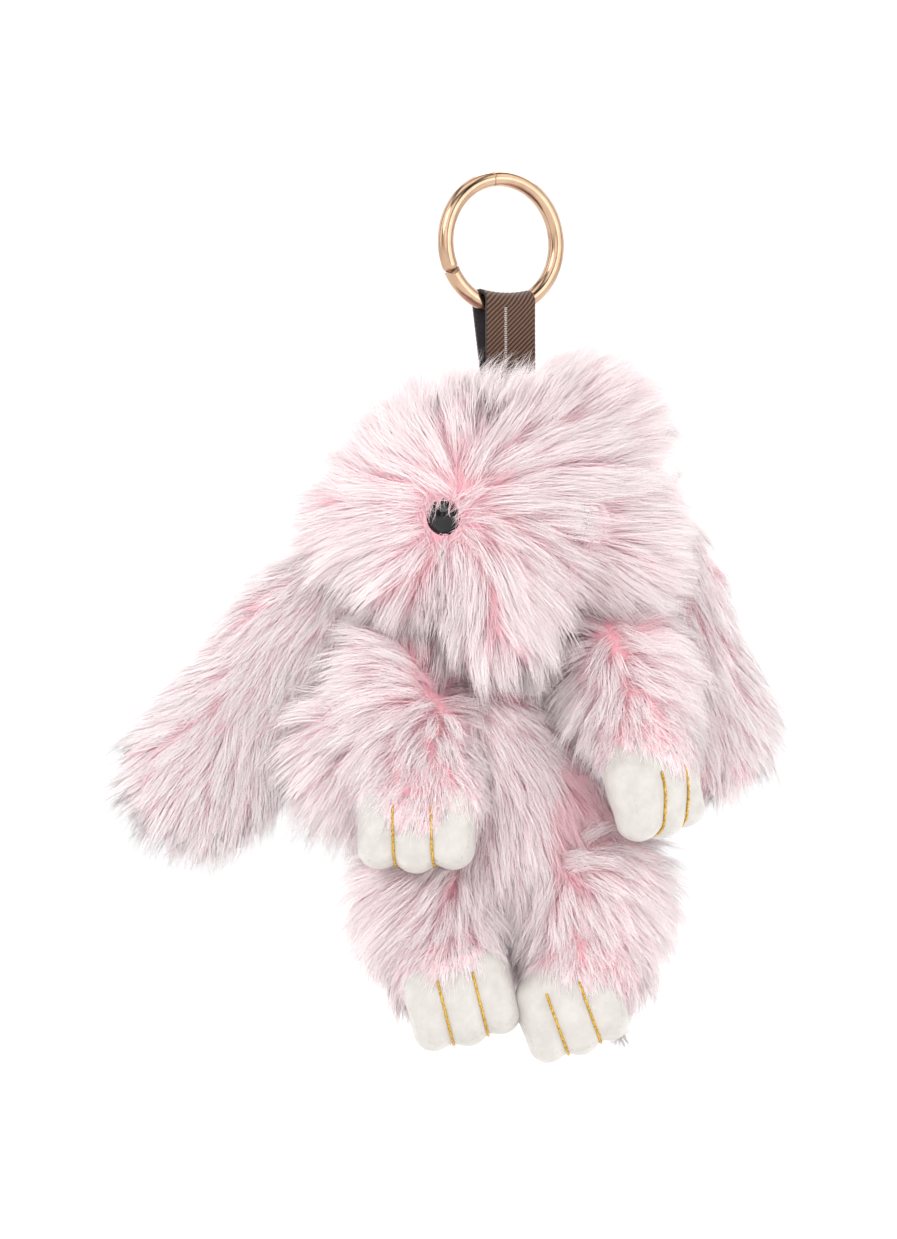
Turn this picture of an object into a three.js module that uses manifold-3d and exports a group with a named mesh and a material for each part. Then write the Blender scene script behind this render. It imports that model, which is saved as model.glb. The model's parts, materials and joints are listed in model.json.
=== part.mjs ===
// A plush bunny keychain: a sprung snap ring, a webbing loop and a stuffed faux-fur bunny.
// Millimetres, +Z up, the bunny's face looks along -Y, and left and right are the bunny's own.
// The origin is the inside top of the ring, which is the point that the keychain hangs from.
// Each furry cover is the pelt and its pile together, so its outside is the mean surface of the fur.
import * as THREE from 'three';
import { mergeVertices } from 'three/addons/utils/BufferGeometryUtils.js';
import Module from 'manifold-3d';

const wasm = await Module();
wasm.setup();

// Driving dimensions
const GAP = 0.3;                  // air kept between two neighbouring pieces
const RING_OUTER = 32;            // outside diameter of the snap ring
const WIRE = 3.5;                 // diameter of the ring's round wire
const RING_YAW = 30;              // degrees that the ring and its webbing turn about the vertical
const HINGE_ANGLE = 202;          // place of the gate's pin round the ring, from its +X side
const GATE_TIP_ANGLE = 100;       // place round the ring where the gate's outer half ends
const PIN_RADIUS = 0.45;
const TONGUE = 1.0;               // thickness of the ring's hinge tongue
const WEBBING_WIDTH = 12.6;
const WEBBING_THICKNESS = 0.9;
const WEBBING_BOTTOM = -42.2;     // height of the webbing's sewn ends, at the crown
const PELT = 8;                   // depth of head and torso covers: backing and pile
const LIMB_PELT = 4;              // depth of arm and leg covers
const EYE_RADIUS = 5;
const THREAD_RADIUS = 0.3;

const HEAD_CENTRE = [-1, 2, -70];
const HEAD_RADII = [35, 31, 27];
const MUZZLE_CENTRE = [3.5, -18, -91];
const MUZZLE_RADII = [14, 15, 21];
const TORSO_CENTRE = [0, 4, -132];
const TORSO_RADII = [18.5, 15.5, 33];
const NECK = [0, 3, -98];

const EYES = {
  right: { at: [-12.5, -20.5, -73.5], turn: -38 },
  left: { at: [16, -19, -74.5], turn: 48 },
};
const EARS = {
  right: { root: [-34, 3, -86], tip: [-75, -3, -139] },
  left: { root: [38, 8, -77], tip: [53, 17, -139] },
};
const EAR_ROOT_RADIUS = 7;
const EAR_HALF_WIDTH = 13.5;
const EAR_FLATNESS = 0.55;

// Each limb runs from its hinge to the end of its furry sleeve; turn, lean and tilt set its paw.
const LIMBS = [
  { name: 'arm_right', paw: 'front_paw_right', top: [-24.5, -2, -109], end: [-21, -17, -134],
    radii: [9, 10.5], pawAt: [-18.5, -21, -140], pawSize: [12.8, 8.5, 11.8], turn: -10, lean: 0, tilt: 8 },
  { name: 'arm_left', paw: 'front_paw_left', top: [25, -2, -102], end: [30, -16, -125],
    radii: [9, 10], pawAt: [32.5, -20.5, -132.5], pawSize: [11.8, 8.5, 12], turn: 48, lean: -10, tilt: 8 },
  { name: 'leg_right', paw: 'hind_paw_right', top: [-14.5, -3, -159], end: [-10.5, -12, -173],
    radii: [12.5, 10], pawAt: [-9.3, -17, -178.5], pawSize: [11.8, 8.5, 12], turn: 0, lean: -14, tilt: 12 },
  { name: 'leg_left', paw: 'hind_paw_left', top: [14.5, -3, -160], end: [15, -12, -175.5],
    radii: [12.5, 10], pawAt: [14.6, -17, -181], pawSize: [11.4, 8.5, 11.8], turn: 0, lean: -20, tilt: 12 },
];

const material = (color, roughness, metalness = 0) =>
  new THREE.MeshStandardMaterial({ color, roughness, metalness });
const MATERIALS = {
  gold: () => material(0xd9a877, 0.2, 1),
  steel: () => material(0xb8b4ac, 0.35, 1),
  webbing: () => material(0x6b5347, 0.85),
  seamThread: () => material(0xb9b2ad, 0.7),
  fur: () => material(0xf3d3d8, 0.95),
  filling: () => material(0xf4f1ec, 1),
  leather: () => material(0xe4e0dc, 0.45),
  goldThread: () => material(0xd9b64e, 0.35, 0.8),
  eye: () => material(0x101012, 0.08),
  washer: () => material(0xdddad2, 0.6),
  sewing: () => material(0xe9c9ce, 0.8),
};

const part = new THREE.Group();
const radians = THREE.MathUtils.degToRad;

// Solids for joins and cuts
function solidOf(geometry) {
  const bare = geometry.clone();
  bare.deleteAttribute('normal');
  bare.deleteAttribute('uv');
  const merged = mergeVertices(bare, 1e-4);
  const corners = [];
  const index = merged.index.array;
  for (let i = 0; i < index.length; i += 3) {
    const [a, b, c] = [index[i], index[i + 1], index[i + 2]];
    if (a !== b && b !== c && a !== c) corners.push(a, b, c);
  }
  const vertProperties = new Float32Array(merged.attributes.position.array);
  return new wasm.Manifold(new wasm.Mesh({ numProp: 3, vertProperties, triVerts: new Uint32Array(corners) }));
}

function geometryOf(solid) {
  const { vertProperties, triVerts } = solid.getMesh();
  const geometry = new THREE.BufferGeometry();
  geometry.setAttribute('position', new THREE.BufferAttribute(vertProperties, 3));
  geometry.setIndex(new THREE.BufferAttribute(triVerts, 1));
  geometry.computeVertexNormals();
  return geometry;
}

function place(name, geometry, makeMaterial, group = part) {
  const mesh = new THREE.Mesh(geometry, makeMaterial());
  mesh.name = name;
  group.add(mesh);
  return mesh;
}

// A solid of revolution about Z from [radius, height] pairs, given from its top down the outside
function spin(profile, segments = 16) {
  const points = profile.map(([r, z]) => new THREE.Vector2(r, z)).reverse();
  return new THREE.LatheGeometry(points, segments).rotateX(Math.PI / 2);
}

// The points of an arc from angle a to angle b, in degrees, as [radius, height] pairs
function arc(cx, cz, r, a, b, steps) {
  return Array.from({ length: steps + 1 }, (_, i) => {
    const angle = radians(a + (b - a) * i / steps);
    return [cx + r * Math.cos(angle), cz + r * Math.sin(angle)];
  });
}

const onAxis = (pairs) => pairs.map(([r, z]) => [Math.abs(r) < 1e-9 ? 0 : r, z]);

function ball(radii, centre, segments = 20, rings = 12) {
  return new THREE.SphereGeometry(1, segments, rings).rotateX(Math.PI / 2).scale(...radii).translate(...centre);
}

// Turns a solid built along -Z from the origin so that it runs from one point towards another
function aim(geometry, from, to) {
  const direction = new THREE.Vector3(...to).sub(new THREE.Vector3(...from)).normalize();
  const turn = new THREE.Quaternion().setFromUnitVectors(new THREE.Vector3(0, 0, -1), direction);
  return geometry.applyQuaternion(turn).translate(...from);
}

const distance = (a, b) => new THREE.Vector3(...a).distanceTo(new THREE.Vector3(...b));

// ---- Snap ring -------------------------------------------------------------------------------
// The ring is one torus, parted into body and gate. The gate's fork turns on a pin held by the
// body's tongue. Its free end is cut on circles round the pin, so it swings inward and stays clear.
const ringGroup = new THREE.Group();
ringGroup.position.z = WIRE - RING_OUTER / 2;
ringGroup.rotation.z = radians(RING_YAW);
part.add(ringGroup);

const wireRadius = WIRE / 2;
const ringRadius = RING_OUTER / 2 - wireRadius;
const onRing = (degrees, radius = ringRadius) =>
  [radius * Math.cos(radians(degrees)), 0, radius * Math.sin(radians(degrees))];
const pinAt = onRing(HINGE_ANGLE);

// A disc whose axis is the ring's own axis, Y
function disc(radius, thickness, [x, , z] = [0, 0, 0], segments = 32) {
  return solidOf(new THREE.CylinderGeometry(radius, radius, thickness, segments).translate(x, 0, z));
}

// A pie slice round the ring's centre, from angle a to angle b
function slice(a, b, thickness = 2 * WIRE) {
  const shape = new THREE.Shape();
  shape.moveTo(0, 0);
  shape.lineTo(RING_OUTER * Math.cos(radians(a)), RING_OUTER * Math.sin(radians(a)));
  shape.absarc(0, 0, RING_OUTER, radians(a), radians(b), false);
  const geometry = new THREE.ExtrudeGeometry(shape, { depth: thickness, bevelEnabled: false, curveSegments: 12 });
  return solidOf(geometry.translate(0, 0, -thickness / 2).rotateX(Math.PI / 2));
}

function makeRing() {
  const torus = solidOf(new THREE.TorusGeometry(ringRadius, wireRadius, 12, 80).rotateX(Math.PI / 2));
  const wide = 2 * WIRE;
  const tipOuter = distance(pinAt, onRing(GATE_TIP_ANGLE, RING_OUTER / 2));
  const tipInner = tipOuter + 1.6;
  const gateReach = (gap) => disc(tipOuter + gap, wide, pinAt, 64)
    .add(disc(tipInner + gap, wide, pinAt, 64).intersect(disc(ringRadius - 0.15 + gap, wide, [0, 0, 0], 64)));
  const gateSide = slice(45, HINGE_ANGLE);
  const knuckle = (gap) => disc(wireRadius + gap, wide, pinAt, 24);
  const slotHalf = TONGUE / 2 + 0.2;
  const slot = disc(wireRadius + 2.6, 2 * slotHalf, pinAt, 24);
  const pinHole = disc(PIN_RADIUS + 0.12, wide, pinAt, 12);
  const gate = torus.intersect(gateSide.add(knuckle(0)).intersect(gateReach(0)))
    .subtract(slot).subtract(pinHole);
  const tongue = torus.intersect(disc(wireRadius - 0.1, TONGUE, pinAt, 24)
    .add(slice(HINGE_ANGLE, HINGE_ANGLE + 14, TONGUE)));
  const body = torus.subtract(gateSide.add(knuckle(GAP)).intersect(gateReach(GAP)))
    .add(tongue).subtract(pinHole);
  place('ring_body', geometryOf(body), MATERIALS.gold, ringGroup);
  place('ring_gate', geometryOf(gate), MATERIALS.gold, ringGroup);
}

function makeHingeParts() {
  const pin = new THREE.CylinderGeometry(PIN_RADIUS, PIN_RADIUS, WIRE - 0.4, 12);
  place('gate_pin', pin.translate(...pinAt), MATERIALS.gold, ringGroup);
  const leaf = new THREE.BoxGeometry(0.35, 0.8, 1.8);
  const [x, , z] = onRing(HINGE_ANGLE - 12, ringRadius - 0.4);
  place('gate_spring', leaf.rotateY(radians(HINGE_ANGLE - 192)).translate(x, 0, z), MATERIALS.steel, ringGroup);
}

makeRing();
makeHingeParts();

// ---- Webbing loop ----------------------------------------------------------------------------
// The loop's fold turns round the wire at the ring's lowest point, with room for the wire's curve.
const webbingGroup = new THREE.Group();
webbingGroup.rotation.z = radians(RING_YAW);
part.add(webbingGroup);

const WEBBING_SHIFT = 0.6;        // the loop's middle, along the ring's own X
const FOLD_INNER = 3.15;
const foldHeight = WIRE - RING_OUTER + wireRadius + 0.95;
const SEWN_HEIGHT = WEBBING_BOTTOM + 3.5;

function makeWebbing() {
  const outer = FOLD_INNER + WEBBING_THICKNESS;
  const half = WEBBING_THICKNESS + 0.05;
  const outline = new THREE.Shape();
  outline.moveTo(half, WEBBING_BOTTOM);
  outline.lineTo(half, SEWN_HEIGHT);
  outline.lineTo(outer, foldHeight);
  outline.absarc(0, foldHeight, outer, 0, Math.PI, false);
  outline.lineTo(-half, SEWN_HEIGHT);
  outline.lineTo(-half, WEBBING_BOTTOM);
  const inside = new THREE.Path();
  inside.moveTo(0.05, SEWN_HEIGHT + 1);
  inside.lineTo(FOLD_INNER, foldHeight);
  inside.absarc(0, foldHeight, FOLD_INNER, 0, Math.PI, false);
  inside.lineTo(-0.05, SEWN_HEIGHT + 1);
  outline.holes.push(inside);
  const loop = new THREE.ExtrudeGeometry(outline,
    { depth: WEBBING_WIDTH, bevelEnabled: false, curveSegments: 10 });
  loop.translate(0, 0, -WEBBING_WIDTH / 2).rotateY(Math.PI / 2).rotateX(Math.PI / 2);
  loop.translate(WEBBING_SHIFT, 0, 0);
  place('webbing_loop', loop, MATERIALS.webbing, webbingGroup);

  const run = [new THREE.Vector3(0, -outer - 0.35, foldHeight), new THREE.Vector3(0, -half - 0.35, SEWN_HEIGHT)];
  const length = run[0].distanceTo(run[1]);
  const row = new THREE.BoxGeometry(0.8, 0.3, length);
  const slope = Math.atan2(outer - half, foldHeight - SEWN_HEIGHT);
  const [top, bottom] = run;
  row.rotateX(slope).translate(0, (top.y + bottom.y) / 2, (top.z + bottom.z) / 2);
  place('webbing_stitching', row, MATERIALS.seamThread, webbingGroup);
}

makeWebbing();

// ---- Head ------------------------------------------------------------------------------------
const shrunk = (radii, by) => radii.map((r) => r - by);

function headForm(inset) {
  return solidOf(ball(shrunk(HEAD_RADII, inset), HEAD_CENTRE, 20, 12))
    .add(solidOf(ball(shrunk(MUZZLE_RADII, inset * 0.75), MUZZLE_CENTRE, 14, 9)));
}

// The room an eye takes: a pit in the pile, a hole for its shank and a pocket for its washer
function eyeRoom({ at, turn }) {
  const hole = spin([[0, 20], [EYE_RADIUS + 0.4, 20], [EYE_RADIUS + 0.4, -0.9], [1.6, -0.9],
    [1.6, -2.6], [4.9, -2.6], [4.9, -7.6], [0, -7.6]], 16);
  return solidOf(faceOut(hole, at, turn));
}

// Turns a solid built along +Z so that it looks out of the head, turn degrees from the face's line
function faceOut(geometry, at, turn) {
  return geometry.rotateX(Math.PI / 2).rotateZ(radians(turn)).translate(...at);
}

function makeHead() {
  const rooms = Object.values(EYES).map(eyeRoom);
  const neckOpening = solidOf(new THREE.CylinderGeometry(7, 7, 30, 16).rotateX(Math.PI / 2)
    .translate(NECK[0], NECK[1], NECK[2]));
  let cover = headForm(0).subtract(headForm(PELT)).subtract(neckOpening);
  let filling = headForm(PELT + 0.4);
  for (const room of rooms) {
    cover = cover.subtract(room);
    filling = filling.subtract(room);
  }
  for (const { root } of Object.values(EARS)) {
    const socket = ball(Array(3).fill(EAR_ROOT_RADIUS + 0.6), root, 14, 8);
    cover = cover.subtract(solidOf(socket));
  }
  place('head_cover', geometryOf(cover), MATERIALS.fur);
  place('head_filling', geometryOf(filling), MATERIALS.filling);
}

function makeEye(side) {
  const { at, turn } = EYES[side];
  const dome = onAxis(arc(0, 0, EYE_RADIUS, 90, 0, 5)).map(([r, z]) => [r, z * 0.75]);
  const bead = spin([...dome, [EYE_RADIUS, -0.6], [1.2, -0.6], [1.2, -7], [0, -7]], 16);
  place(`eye_${side}`, faceOut(bead, at, turn), MATERIALS.eye);
  const washer = spin([[1.5, -3.2], [4.5, -3.2], [4.5, -4], [1.5, -4], [1.5, -3.2]], 16);
  place(`eye_washer_${side}`, faceOut(washer, at, turn), MATERIALS.washer);
}

function makeEar(side) {
  const { root, tip } = EARS[side];
  const length = distance(root, tip);
  const profile = onAxis([
    ...arc(0, 0, EAR_ROOT_RADIUS, 90, 0, 4),
    [EAR_HALF_WIDTH * 0.8, -length * 0.3],
    [EAR_HALF_WIDTH * 0.97, -length * 0.55],
    ...arc(0, -length + EAR_HALF_WIDTH * 0.75, EAR_HALF_WIDTH, 0, -90, 5),
  ]);
  const ear = spin(profile, 18).scale(1, EAR_FLATNESS, 1);
  place(`ear_${side}`, aim(ear, root, tip), MATERIALS.fur);
}

makeHead();
makeEye('right');
makeEye('left');
makeEar('right');
makeEar('left');

// ---- Torso -----------------------------------------------------------------------------------
// The torso is hollowed round the shoulders and hips, so the limbs turn clear of it.
function makeTorso() {
  const opening = solidOf(new THREE.CylinderGeometry(6, 6, 20, 16).rotateX(Math.PI / 2)
    .translate(NECK[0], NECK[1], TORSO_CENTRE[2] + TORSO_RADII[2]));
  let cover = solidOf(ball(TORSO_RADII, TORSO_CENTRE));
  const inner = (gap) => solidOf(ball(shrunk(TORSO_RADII, PELT + gap), TORSO_CENTRE, 14, 10));
  let filling = inner(0.4);
  cover = cover.subtract(inner(0)).subtract(opening);
  for (const limb of LIMBS) {
    cover = cover.subtract(sleeveForm(limb, 1.1));
    filling = filling.subtract(sleeveForm(limb, 2.5));
  }
  place('torso_cover', geometryOf(cover), MATERIALS.fur);
  place('torso_filling', geometryOf(filling), MATERIALS.filling);
  const collar = new THREE.CylinderGeometry(5, 5, 1, 16).rotateX(Math.PI / 2);
  place('neck_stitching', collar.translate(NECK[0], NECK[1], NECK[2] + 1.2), MATERIALS.sewing);
}

makeTorso();

// ---- Arms and legs ---------------------------------------------------------------------------
function makeSleeve({ name, top, end, radii: [r0, r1] }) {
  const length = distance(top, end);
  const outer = onAxis(arc(0, 0, r0, 90, 0, 4));
  const inner = (inset) => onAxis(arc(0, 0, r0 - inset, 90, 0, 4));
  const cup = [...outer, [r1, -length], [r1 - LIMB_PELT, -length], ...inner(LIMB_PELT).reverse()];
  place(`${name}_cover`, aim(spin(cup, 16), top, end), MATERIALS.fur);
  const core = [...inner(LIMB_PELT + 0.4), [r1 - LIMB_PELT - 0.4, -length], [0, -length]];
  place(`${name}_filling`, aim(spin(core, 14), top, end), MATERIALS.filling);
}

// The outside of a limb's sleeve, grown by a margin
function sleeveForm({ top, end, radii: [r0, r1] }, margin) {
  const length = distance(top, end) + margin;
  const outline = onAxis([...arc(0, 0, r0 + margin, 90, 0, 3), [r1 + margin, -length], [0, -length]]);
  return solidOf(aim(spin(outline, 12), top, end));
}

// A leather mitt: toes point along -Z, the back of the paw faces -Y, three toes side by side.
// Its cuff is cut to the end of the furry sleeve that it is sewn to.
function makePaw(limb) {
  const { paw, pawAt, pawSize: [a, b, c], turn, lean, tilt } = limb;
  const group = new THREE.Group();
  group.position.set(...pawAt);
  group.rotation.order = 'ZYX';
  group.rotation.set(radians(-tilt), radians(lean), radians(turn));
  part.add(group);

  const toePitch = 2 * a / 3;
  const mitt = new THREE.SphereGeometry(1, 18, 10).rotateX(Math.PI / 2).scale(a, b, c);
  const position = mitt.attributes.position;
  for (let i = 0; i < position.count; i++) {
    const x = position.getX(i);
    const z = position.getZ(i);
    const scallop = 0.5 - 0.5 * Math.cos(2 * Math.PI * (x + a) / toePitch);
    if (z < 0) position.setZ(i, z * (0.92 + 0.08 * scallop));
  }
  group.updateMatrixWorld(true);
  const toGroup = group.matrixWorld.clone().invert().elements;
  const cuffed = solidOf(mitt).subtract(sleeveForm(limb, GAP).transform(toGroup));
  place(paw, geometryOf(cuffed), MATERIALS.leather, group);

  const sides = { outer: -1, inner: 1 };
  for (const [which, side] of Object.entries(sides)) {
    const x = side * toePitch / 2;
    const section = Math.sqrt(1 - (x / a) ** 2);
    const lift = THREAD_RADIUS + 0.35;
    const curve = new THREE.CatmullRomCurve3(Array.from({ length: 9 }, (_, i) => {
      const angle = radians(175 + 100 * i / 8);
      return new THREE.Vector3(x, (b * section + lift) * Math.cos(angle), (c * section + lift) * Math.sin(angle));
    }));
    const round = new THREE.Shape().absarc(0, 0, THREAD_RADIUS, 0, 2 * Math.PI, false);
    const thread = new THREE.ExtrudeGeometry(round, { steps: 9, extrudePath: curve, curveSegments: 3 });
    place(`${paw}_thread_${which}`, thread, MATERIALS.goldThread, group);
  }
}

for (const limb of LIMBS) {
  makeSleeve(limb);
  makePaw(limb);
}

export default part;
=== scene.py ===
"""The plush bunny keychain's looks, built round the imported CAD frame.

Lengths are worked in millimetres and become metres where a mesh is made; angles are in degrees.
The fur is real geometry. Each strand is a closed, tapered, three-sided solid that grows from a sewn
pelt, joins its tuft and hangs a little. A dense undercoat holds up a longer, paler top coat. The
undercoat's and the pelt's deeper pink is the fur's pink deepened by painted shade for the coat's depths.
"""
import json
import math

import bmesh
import bpy
import numpy as np
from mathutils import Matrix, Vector
from mathutils.kdtree import KDTree


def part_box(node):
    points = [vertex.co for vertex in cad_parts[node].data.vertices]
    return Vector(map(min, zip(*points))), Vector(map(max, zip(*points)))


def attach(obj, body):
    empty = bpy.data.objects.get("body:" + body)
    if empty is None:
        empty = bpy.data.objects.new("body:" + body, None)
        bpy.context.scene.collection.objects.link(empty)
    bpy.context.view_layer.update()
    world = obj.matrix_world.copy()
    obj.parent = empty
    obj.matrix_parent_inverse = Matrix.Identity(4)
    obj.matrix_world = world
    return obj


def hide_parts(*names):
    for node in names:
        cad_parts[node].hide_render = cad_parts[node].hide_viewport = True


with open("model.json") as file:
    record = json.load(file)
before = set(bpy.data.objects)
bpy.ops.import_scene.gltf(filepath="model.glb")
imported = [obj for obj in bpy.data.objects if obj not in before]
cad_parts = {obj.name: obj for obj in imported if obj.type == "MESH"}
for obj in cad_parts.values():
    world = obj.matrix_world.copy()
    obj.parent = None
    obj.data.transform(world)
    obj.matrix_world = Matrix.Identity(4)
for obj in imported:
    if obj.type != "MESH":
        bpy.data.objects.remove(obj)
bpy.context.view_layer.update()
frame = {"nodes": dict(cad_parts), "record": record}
record = frame["record"]
JOINTS = {j["name"]: j for j in record["behaviour"]["joints"]}

MM = 0.001
UP = np.array([0.0, 0.0, 1.0])


def box_mm(node):
    low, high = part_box(node)
    return np.array(low, float) / MM, np.array(high, float) / MM


def middle_mm(node):
    low, high = box_mm(node)
    return (low + high) / 2


def pivot_mm(joint):
    return np.array(JOINTS[joint]["pos_m"], float) / MM


def link(obj):
    bpy.context.scene.collection.objects.link(obj)
    return obj


def unit(v):
    return v / np.maximum(np.linalg.norm(v, axis=-1, keepdims=True), 1e-9)


def axis_of(joint):
    return unit(np.array(JOINTS[joint]["axis"], float))


def ease(values, start, end):
    """0 before start and 1 after end, smooth between"""
    t = np.clip((values - start) / (end - start), 0, 1)
    return t * t * (3 - 2 * t)


# ---- Camera, light and stage -----------------------------------------------------------------
VIEW_HEIGHT = 0.2753              # metres that the frame shows at the object's distance
CAMERA_DISTANCE = 1.2
FRAME_ASPECT = 897 / 1239
LOOK_AT = Vector((-0.0117, 0.0, -0.0962))
SENSOR = 24


def make_camera():
    data = bpy.data.cameras.new("camera")
    data.sensor_fit = "VERTICAL"
    data.sensor_height = SENSOR
    data.sensor_width = SENSOR * FRAME_ASPECT
    data.lens = SENSOR * CAMERA_DISTANCE / VIEW_HEIGHT
    data.clip_end = 10
    camera = link(bpy.data.objects.new("camera", data))
    camera.location = LOOK_AT + Vector((0, -CAMERA_DISTANCE, 0))
    camera.rotation_euler = (math.radians(90), 0, 0)
    bpy.context.scene.camera = camera


LIGHTS = {                        # place, width and watts
    "key": ((-0.75, -1.0, 0.65), 0.8, 6),
    "fill": ((0.95, -0.9, 0.1), 0.9, 4.5),
    "back": ((0.2, 0.7, 0.75), 0.8, 6),
}
WORLD_STRENGTH = 1.9
# Greys across the world, from 0 at its negative side to 1 at its positive: white walls and dark flags
FLAGS_ACROSS_X = [(0.2, 1.0), (0.24, 0.25), (0.3, 0.25), (0.34, 1.0), (0.62, 1.0), (0.67, 0.2),
                  (0.76, 0.2), (0.8, 1.0)]
FLAGS_ACROSS_Y = [(0.1, 1.0), (0.16, 0.15), (0.24, 0.1), (0.29, 1.0), (0.49, 1.0), (0.55, 0.15),
                  (0.61, 0.15), (0.68, 1.0)]


def area_light(name, at, width, watts):
    data = bpy.data.lights.new(name, "AREA")
    data.shape = "DISK"
    data.size = width
    data.energy = watts
    light = link(bpy.data.objects.new(name, data))
    light.location = at
    light.rotation_euler = (LOOK_AT - Vector(at)).to_track_quat("-Z", "Y").to_euler()


def set_stops(ramp, stops):
    """Gives a colour ramp its stops, each a position and a colour"""
    while len(ramp.elements) < len(stops):
        ramp.elements.new(0.5)
    for element, (position, colour) in zip(ramp.elements, stops):
        element.position = position
        element.color = colour


def socket_of(sockets, identifier):
    """A Mix node has several sockets of one name, so they're told apart by identifier"""
    return next(s for s in sockets if s.identifier == identifier)


def world_bands(tree, direction, greys):
    """Greys laid across the world, along one part of a direction"""
    half = tree.nodes.new("ShaderNodeMapRange")
    half.inputs["From Min"].default_value = -1
    tree.links.new(direction, half.inputs["Value"])
    ramp = tree.nodes.new("ShaderNodeValToRGB")
    set_stops(ramp.color_ramp, [(position, (grey, grey, grey, 1)) for position, grey in greys])
    tree.links.new(half.outputs["Result"], ramp.inputs["Fac"])
    return ramp.outputs["Color"]


def studio_world():
    """White walls and dark flags, which give the polished metal its bands"""
    world = bpy.data.worlds.new("studio")
    world.use_nodes = True
    tree = world.node_tree
    parts = tree.nodes.new("ShaderNodeSeparateXYZ")
    tree.links.new(tree.nodes.new("ShaderNodeTexCoord").outputs["Generated"], parts.inputs[0])
    both = tree.nodes.new("ShaderNodeMix")
    both.data_type = "RGBA"
    both.blend_type = "MULTIPLY"
    both.inputs["Factor"].default_value = 1.0
    for axis, greys, end in (("X", FLAGS_ACROSS_X, "A_Color"), ("Y", FLAGS_ACROSS_Y, "B_Color")):
        tree.links.new(world_bands(tree, parts.outputs[axis], greys), socket_of(both.inputs, end))
    background = tree.nodes["Background"]
    tree.links.new(socket_of(both.outputs, "Result_Color"), background.inputs["Color"])
    background.inputs["Strength"].default_value = WORLD_STRENGTH
    return world


def make_lights():
    for name, (at, width, watts) in LIGHTS.items():
        area_light(name, at, width, watts)
    bpy.context.scene.world = studio_world()
    bpy.context.scene.view_settings.view_transform = "Standard"
    bpy.context.scene.cycles.diffuse_bounces = 6


# ---- Materials -------------------------------------------------------------------------------
def srgb(text):
    """A colour written as #RRGGBB, in the scene's linear units"""
    parts = [int(text[i:i + 2], 16) / 255 for i in (1, 3, 5)]
    return tuple(c / 12.92 if c <= 0.04045 else ((c + 0.055) / 1.055) ** 2.4 for c in parts) + (1.0,)


class Material:
    """A Principled material and short ways to wire its nodes"""

    def __init__(self, name, **settings):
        self.block = bpy.data.materials.new(name)
        self.block.use_nodes = True
        self.tree = self.block.node_tree
        self.shader = self.tree.nodes["Principled BSDF"]
        for socket, value in settings.items():
            self.shader.inputs[socket.replace("_", " ")].default_value = value

    def add(self, kind, inputs=(), **attributes):
        node = self.tree.nodes.new("ShaderNode" + kind)
        for key, value in attributes.items():
            setattr(node, key, value)
        for socket, value in dict(inputs).items():
            self.feed(node.inputs[socket], value)
        return node

    def feed(self, socket, value):
        if isinstance(value, bpy.types.NodeSocket):
            self.tree.links.new(value, socket)
        else:
            socket.default_value = value

    def where(self, scale=(1, 1, 1), rotation=(0, 0, 0)):
        place = self.add("TexCoord").outputs["Object"]
        mapping = {"Vector": place, "Scale": scale, "Rotation": rotation}
        return self.add("Mapping", mapping).outputs["Vector"]

    def noise(self, vector, scale, detail=3, roughness=0.6):
        inputs = {"Vector": vector, "Scale": scale, "Detail": detail, "Roughness": roughness}
        return self.add("TexNoise", inputs).outputs["Fac"]

    def attribute(self, name):
        return self.add("Attribute", attribute_name=name).outputs["Fac"]

    def ramp(self, factor, *stops):
        """stops are positions with a colour's #RRGGBB or a grey"""
        node = self.add("ValToRGB", {"Fac": factor})
        colours = [srgb(c) if isinstance(c, str) else (c, c, c, 1) for _, c in stops]
        set_stops(node.color_ramp, [(at, colour) for (at, _), colour in zip(stops, colours)])
        return node.outputs["Color"]

    def mix(self, kind, factor, a, b):
        node = self.add("Mix", data_type="RGBA", blend_type=kind)
        for name, value in (("Factor_Float", factor), ("A_Color", a), ("B_Color", b)):
            self.feed(socket_of(node.inputs, name), value)
        return socket_of(node.outputs, "Result_Color")

    def bump(self, height, strength, distance):
        inputs = {"Height": height, "Strength": strength, "Distance": distance}
        self.feed(self.shader.inputs["Normal"], self.add("Bump", inputs).outputs["Normal"])

    def colour(self, value):
        self.feed(self.shader.inputs["Base Color"], value)


def mottled(name, scale, dark, light, bump=None, **settings):
    """A surface whose colour drifts between two tones, with an optional fine grain"""
    material = Material(name, **settings)
    place = material.where()
    material.colour(material.ramp(material.noise(place, scale, 4), (0.35, dark), (0.65, light)))
    if bump:
        material.bump(material.noise(place, bump[0], 4), bump[1], bump[2])
    return material.block


def fur_material(name, root, body, tip, patch):
    """Colour runs from root to tip, with each tuft's own tone and soft pink patches"""
    material = Material(name, Roughness=0.65, Specular_IOR_Level=0.15, Sheen_Weight=0.1,
                        Sheen_Roughness=0.6, Sheen_Tint=srgb("#FFE9EC"))
    gradient = material.ramp(material.attribute("along"), (0.0, root), (0.45, body), (0.9, tip))
    tones = material.ramp(material.attribute("tone"), (0.0, "#FBEFF1"), (1.0, "#FFFFFF"))
    coat = material.mix("MULTIPLY", 1.0, gradient, tones)
    drift = material.ramp(material.noise(material.where(), 45, 2), (0.45, 0.0), (0.8, 0.3))
    material.colour(material.mix("MIX", drift, coat, srgb(patch)))
    return material.block


FLOOR, STAGE_TOP = -0.235, 3.5                  # metres
STAGE_FRONT, STAGE_BACK, STAGE_SIDE = -3.0, 3.5, 4.0
STAGE_BEND = 1.0                                # radius of the sweep from floor to backdrop
BEND_POINTS = 12


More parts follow.
